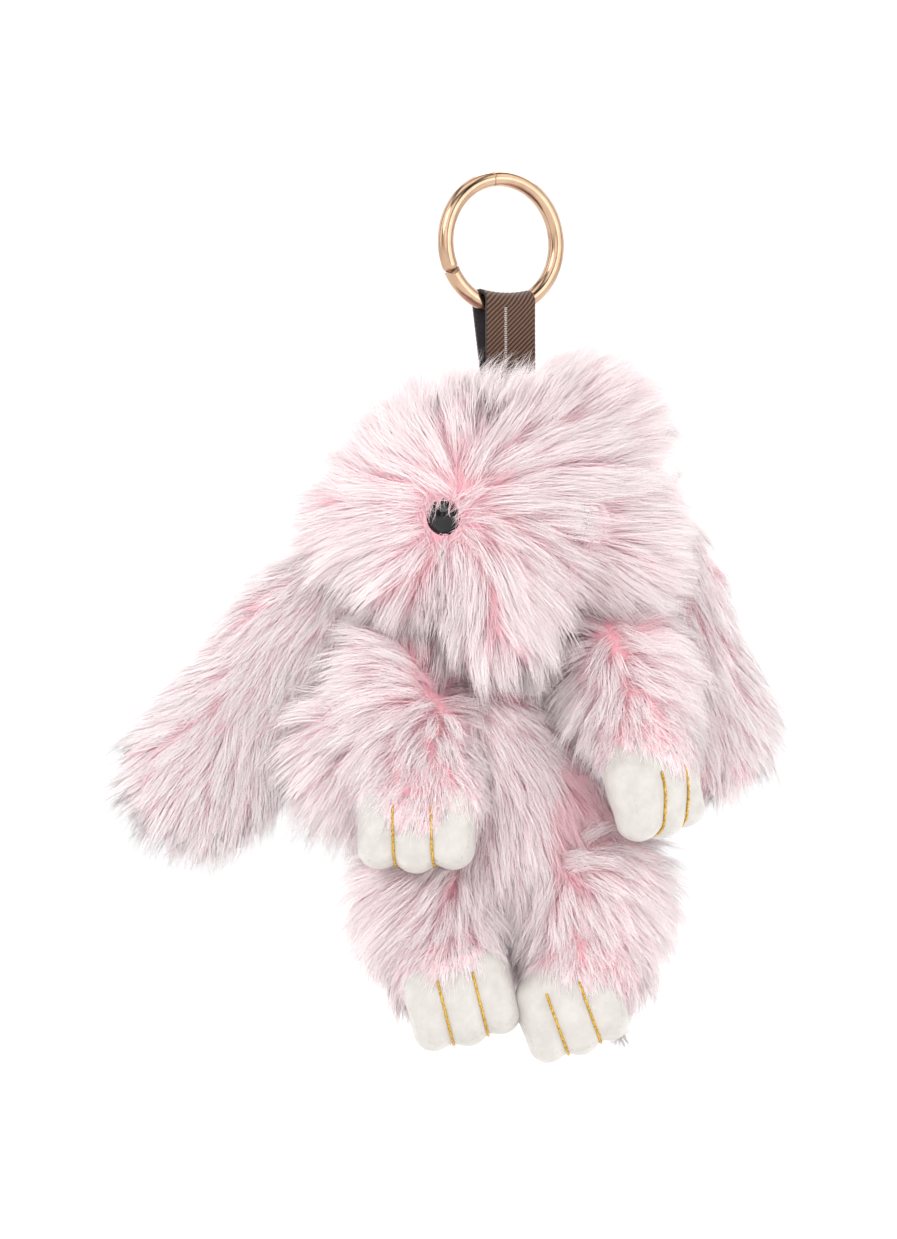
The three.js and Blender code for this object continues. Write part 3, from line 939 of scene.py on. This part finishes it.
def make_torso():
    low, high = box_mm("torso_cover")
    middle = (low + high) / 2
    fields = [ellipsoid(middle, (15, 12.5, 29)), ellipsoid(middle + (0, -1, -19), (20, 14, 14)),
              ellipsoid(middle + (-4, -7, 8), (12, 8, 15)), ellipsoid(middle + (8, -3, -7), (15, 12, 19))]
    form = Form(middle, fields, blend=2.0)

    def chest(p):
        return p[:, 1] < middle[1]

    def valley(p):
        strip = np.abs(p[:, 0] - VALLEY) < VALLEY_HALF
        return chest(p) & strip & (p[:, 2] > low[2] + VALLEY_FOOT)

    def flow(p):
        return np.where(chest(p)[:, None], CHEST_FLOW(p), BACK_FLOW(p))
    coat = dict(flow=flow, length=everywhere(14))
    furry("torso", "torso", form, "torso_cover", dict(coat, weight=lambda p: ~valley(p) + 1e-9),
          {"chest": chest, "back": REST[""]}, 4, SOLIDS)
    # The strip's deeper pink coat is painted shade between chest and arm
    deep = dict(coat, weight=lambda p: valley(p) + 1e-9, top=DEEP)
    cover("torso_valley", "torso", form, deep, REST, 6, SOLIDS)


make_torso()

# ---- Arms and legs ---------------------------------------------------------------------------
LIMBS = {
    "arm_right": dict(top=(-23, -2, -109), end=(-17, -16, -134), radii=(11, 12), parting=(-9, -24, -112),
                      puff=ellipsoid((-32, -3, -126), (12, 10, 13))),
    "arm_left": dict(top=(26, -2, -103), end=(31, -16, -124), radii=(10, 9.5), parting=(20, -22, -98)),
    "leg_right": dict(top=(-16, -3, -159), end=(-12, -11, -171), radii=(13, 10), parting=(3, -16, -144)),
    "leg_left": dict(top=(19, -3, -159), end=(18.5, -11, -171), radii=(14, 11), parting=(4, -16, -144)),
}
FIRST_LIMB_SEED = 10
LIMB_FUR, CUFF_FUR = 14.5, 6.0    # length of the fur up the limb, and in front above the paw


def make_limb(name, seed, top, end, radii, parting, puff=None):
    top, end = np.array(top, float), np.array(end, float)
    form = Form((top + end) / 2, [taper(top, end, *radii), *filter(None, [puff])], blend=1.5)
    run = end - top

    def length(p):
        cuff = ease((p - top) @ run / (run @ run), 0.45, 1.0) * ease(-p[:, 1], 8, 18)
        return LIMB_FUR - (LIMB_FUR - CUFF_FUR) * cuff
    coat = dict(flow=away(parting, (0, 0, -0.5)), length=length)
    furry(name, name, form, f"{name}_cover", coat, REST, seed, SOLIDS)


for number, (name, spec) in enumerate(LIMBS.items()):
    make_limb(name, FIRST_LIMB_SEED + number, **spec)


# ---- Webbing loop ----------------------------------------------------------------------------
# The tape goes up from its foot, over the ring's wire in an arch, and down behind. The arch leaves
# room for the wire at both ends of the loop's swing.
WIRE_RADIUS = 1.75
ring_low, ring_high = box_mm("ring_body")
RING_RADIUS = (ring_high[2] - ring_low[2]) / 2 - WIRE_RADIUS
PIN = pivot_mm("strap_swing")
RING_CENTRE = np.append(PIN[:2], (ring_low[2] + ring_high[2]) / 2)
ACROSS = axis_of("strap_swing")
FORWARD = np.cross(ACROSS, UP)
SWING = math.radians(70)          # the loop's swing, either way
SLACK = PIN[2] - (RING_CENTRE[2] - RING_RADIUS)         # from the wire's middle up to the swing's axis
RIB_PITCH, RIB_HEIGHT, RIB_ANGLE = 0.78, 0.13, math.radians(42)
YARN_PITCH = 0.36                 # along a rib
TAPE_HALF, TAPE_THICKNESS = 6.2, 0.75
TAPE_SHIFT, TAPE_LEAN = 0.6, 1.5  # the tape's place across the ring: at its fold, and added by its foot
TAPE_FOOT, FOOT_HALF = -47.0, 0.75
FOLD = PIN[2] - SLACK * math.cos(SWING)                 # height of the arch's ends
ARCH_HALF = WIRE_RADIUS + SLACK + TAPE_THICKNESS / 2
ARCH_RISE = WIRE_RADIUS + TAPE_THICKNESS / 2 + 0.12
BOW_SHARE, BOW_REACH = 0.5, 6     # how far the tape follows the wire's own curve, and how far down
ARCH_POINTS, SIDE_POINTS, WIDTH_POINTS = 60, 130, 84
SEAM_PITCH, SEAM_STITCH = 0.42, (0.26, 0.85, 0.2)
LONG_SEAM, SHORT_SEAM = -1.4, 1.3                       # places of the seams across the tape
SEAM_ROWS = np.arange(124, 7, -1)                       # down the front, from near the fold to the foot
SHORT_ROWS = 45


def webbing_material():
    """Brown twill: paler ribs and near-black grooves, the grooves' dark being painted shade, and a dark
    grey inner face
    """
    material = Material("twill_webbing", Roughness=0.8, Specular_IOR_Level=0.25, Sheen_Weight=0.1)
    # Colour follows rib height, darkening to near black down in the grooves: painted shade
    twill = material.ramp(material.attribute("rib"), (0.2, "#1D1411"), (0.6, "#5A4134"), (1.0, "#8C6B58"))
    fibres = material.noise(material.where(), 2600, 4)
    groove_shade_and_fibres = material.mix("MULTIPLY", 0.6, twill, material.ramp(fibres, (0.3, 0.55), (0.7, 1.0)))
    # The tape's inner face is coloured dark grey
    inner_face_grey = material.ramp(fibres, (0.3, "#2B2628"), (0.7, "#4A4346"))
    material.colour(material.mix("MIX", material.attribute("inside"), groove_shade_and_fibres, inner_face_grey))
    material.bump(fibres, 0.4, 0.0002)
    return material.block


def tape_route():
    """The tape's middle line from foot to foot over the ring, as distances forward and heights"""
    arch = np.linspace(0, math.pi, ARCH_POINTS)
    down = np.linspace(0, 1, SIDE_POINTS)[1:]
    out = ARCH_HALF + (FOOT_HALF - ARCH_HALF) * down ** 0.9
    side = np.stack([out, FOLD + (TAPE_FOOT - FOLD) * down], 1)
    over = np.stack([ARCH_HALF * np.cos(arch), FOLD + ARCH_RISE * np.sin(arch)], 1)
    return np.concatenate([side[::-1], over, side * (-1, 1)])


def twill(across, along):
    """How high the ribs stand, from 0 to 1, over a grid of places on the tape"""
    u, s = across[None], along[:, None]
    phase = (u * math.sin(RIB_ANGLE) - s * math.cos(RIB_ANGLE)) / RIB_PITCH
    yarn = (u * math.cos(RIB_ANGLE) + s * math.sin(RIB_ANGLE)) / YARN_PITCH
    return np.abs(np.cos(math.pi * phase)) ** 0.8 * (0.85 + 0.15 * np.cos(2 * math.pi * yarn))


def tape_layer(route, across, depth):
    """Points over the tape, at depths out from its middle line"""
    run = unit(np.gradient(route, axis=0))
    out = np.stack([run[:, 1], -run[:, 0]], 1)
    bow = BOW_SHARE * across ** 2 / (2 * RING_RADIUS)
    near_fold = ease(route[:, 1], FOLD - BOW_REACH, FOLD + ARCH_RISE)
    lean = TAPE_LEAN * np.clip((FOLD - route[:, 1]) / (FOLD - TAPE_FOOT), 0, 1)
    place = route[:, None] + out[:, None] * depth[..., None]
    height = place[..., 1] + bow[None] * near_fold[:, None]
    width = across[None] + TAPE_SHIFT + lean[:, None]
    return (PIN * (1, 1, 0) + width[..., None] * ACROSS + place[..., :1] * FORWARD
            + height[..., None] * UP)


def end_quads(rows, columns):
    """Quads over the tape's two ends, each from the outer face to the inner one"""
    k = np.arange(columns // 2 - 1)
    first = np.stack([k, k + 1, columns - 2 - k, columns - 1 - k], 1)
    return np.concatenate([first, (rows - 1) * columns + first[:, ::-1]])


def make_webbing():
    """The tape; returns the points of its outer face"""
    route = tape_route()
    across = np.linspace(-TAPE_HALF, TAPE_HALF, WIDTH_POINTS)
    rib = twill(across, distances(route))
    outside = tape_layer(route, across, TAPE_THICKNESS / 2 + RIB_HEIGHT * (rib - 1))
    inside = tape_layer(route, across, np.full(rib.shape, -TAPE_THICKNESS / 2))
    points = np.concatenate([outside, inside[:, ::-1]], axis=1)
    rows, columns = points.shape[:2]
    faces = np.concatenate([grid_faces(rows, columns), end_quads(rows, columns)])
    tape = mesh_object("webbing_tape", points.reshape(-1, 3), faces, webbing_material())
    none = np.zeros_like(rib)
    mark(tape.data, "rib", np.concatenate([rib, none], 1))
    mark(tape.data, "inside", np.concatenate([none, none + 1], 1))
    wear(tape, "strap", "webbing", "webbing_loop")
    return outside


def make_seam(name, tape_face, place, rows, *nodes):
    """A close zigzag bar of thread down the tape's face"""
    across = np.linspace(-TAPE_HALF, TAPE_HALF, WIDTH_POINTS)
    path = tape_face[rows, int(np.argmin(np.abs(across - place)))]
    facing = np.tile(FORWARD, (len(path), 1))
    row = stitches(name, path, facing, SEAM_PITCH, SEAM_STITCH, SEAM_THREAD)
    wear(row, "strap", "webbing_thread", *nodes)


tape_face = make_webbing()
make_seam("webbing_seam_long", tape_face, LONG_SEAM, SEAM_ROWS, "webbing_stitching")
make_seam("webbing_seam_short", tape_face, SHORT_SEAM, SEAM_ROWS[-SHORT_ROWS:])


# ---- Ring, and the pieces that stay hidden ---------------------------------------------------
GOLD = mottled("polished_gold", 120, "#B29279", "#C4A68D", (900, 0.03, 0.0002), Roughness=0.16,
               Metallic=1.0)
RING_AXIS = axis_of("gate_hinge")
RING_SIDE = unit(np.cross(RING_AXIS, UP))
HINGE_ANGLE, TIP_ANGLE = 202, 100       # round the ring from its own X towards the top
GATE_GAP = 0.5                          # degrees between the gate's ends and the ring's
BALL = math.degrees(WIRE_RADIUS / RING_RADIUS)          # the gate's round end goes this far past its pin
CUP, HOLLOW = 3.0, 8.0                  # degrees: the cup's reach round that end, and its depth
ARC_ROWS, WIRE_SIDES = 320, 48


def ring_way(angle):
    """The way out from the ring's middle at each angle, in radians"""
    return np.cos(angle)[..., None] * RING_SIDE + np.sin(angle)[..., None] * UP


def arc_faces(rows, columns):
    """Triangles of a wire's skin, with a fan at each end round one more point"""
    here = np.arange(columns)
    after, last = (here + 1) % columns, (rows - 1) * columns
    start = np.full(columns, rows * columns)
    fans = [np.stack([start, after, here], 1), np.stack([start + 1, last + here, last + after], 1)]
    return np.concatenate([split(grid_faces(rows, columns)), *fans])


def ring_arc(name, node, body, start, end, cup=0.0, hollow=0.0, edge=0.12):
    """Part of the ring's wire, with a cupped or plain start, and an end rounded to edge millimetres"""
    around = np.radians(np.linspace(0, 360, WIRE_SIDES, endpoint=False))
    rim = start - cup * np.sin(around) ** 2
    turn = np.radians(rim + np.linspace(0, 1, ARC_ROWS)[:, None] * (end - rim))
    to_end = RING_RADIUS * (np.radians(end) - turn)
    rounding = edge - np.sqrt(edge ** 2 - np.clip(edge - to_end, 0, edge * 0.999) ** 2)
    radius = (WIRE_RADIUS - rounding)[..., None]
    across = np.sin(around)[:, None] * ring_way(turn) + np.cos(around)[:, None] * RING_AXIS
    points = RING_CENTRE + ring_way(turn) * RING_RADIUS + radius * across
    middles = RING_CENTRE + ring_way(np.radians([start + hollow, end])) * RING_RADIUS
    points = np.concatenate([points.reshape(-1, 3), middles])
    wear(mesh_object(name, points, arc_faces(*turn.shape), GOLD), body, "gold_metal", node)


ring_arc("ring_wire", "ring_body", "ring", HINGE_ANGLE + BALL + GATE_GAP, TIP_ANGLE + 360 - GATE_GAP,
         cup=CUP, hollow=HOLLOW)
ring_arc("gate_wire", "ring_gate", "gate", TIP_ANGLE, HINGE_ANGLE + BALL, edge=WIRE_RADIUS)
STEEL = mottled("spring_steel", 300, "#A8A49C", "#C2BEB6", (2000, 0.1, 0.0002), Roughness=0.3, Metallic=1.0)
STUFFING = mottled("fibre_stuffing", 500, "#EDE8E2", "#FAF7F3", (700, 0.8, 0.0008), Roughness=1.0)
WASHER = mottled("washer_plastic", 400, "#D6D2C9", "#E4E0D8", (1500, 0.2, 0.0002), Roughness=0.5)
SEWING = mottled("sewing_thread", 1500, "#E0B8C0", "#F0CED4", (2500, 0.5, 0.0003), Roughness=0.8)
KEPT = {"gate_pin": GOLD, "gate_spring": STEEL,
        "head_filling": STUFFING, "torso_filling": STUFFING, "neck_stitching": SEWING,
        "eye_washer_right": WASHER, "eye_washer_left": WASHER,
        **{f"{limb}_filling": STUFFING for limb in LIMBS}}
for node, material in KEPT.items():
    mesh = frame["nodes"][node].data
    mesh.materials.clear()
    mesh.materials.append(material)
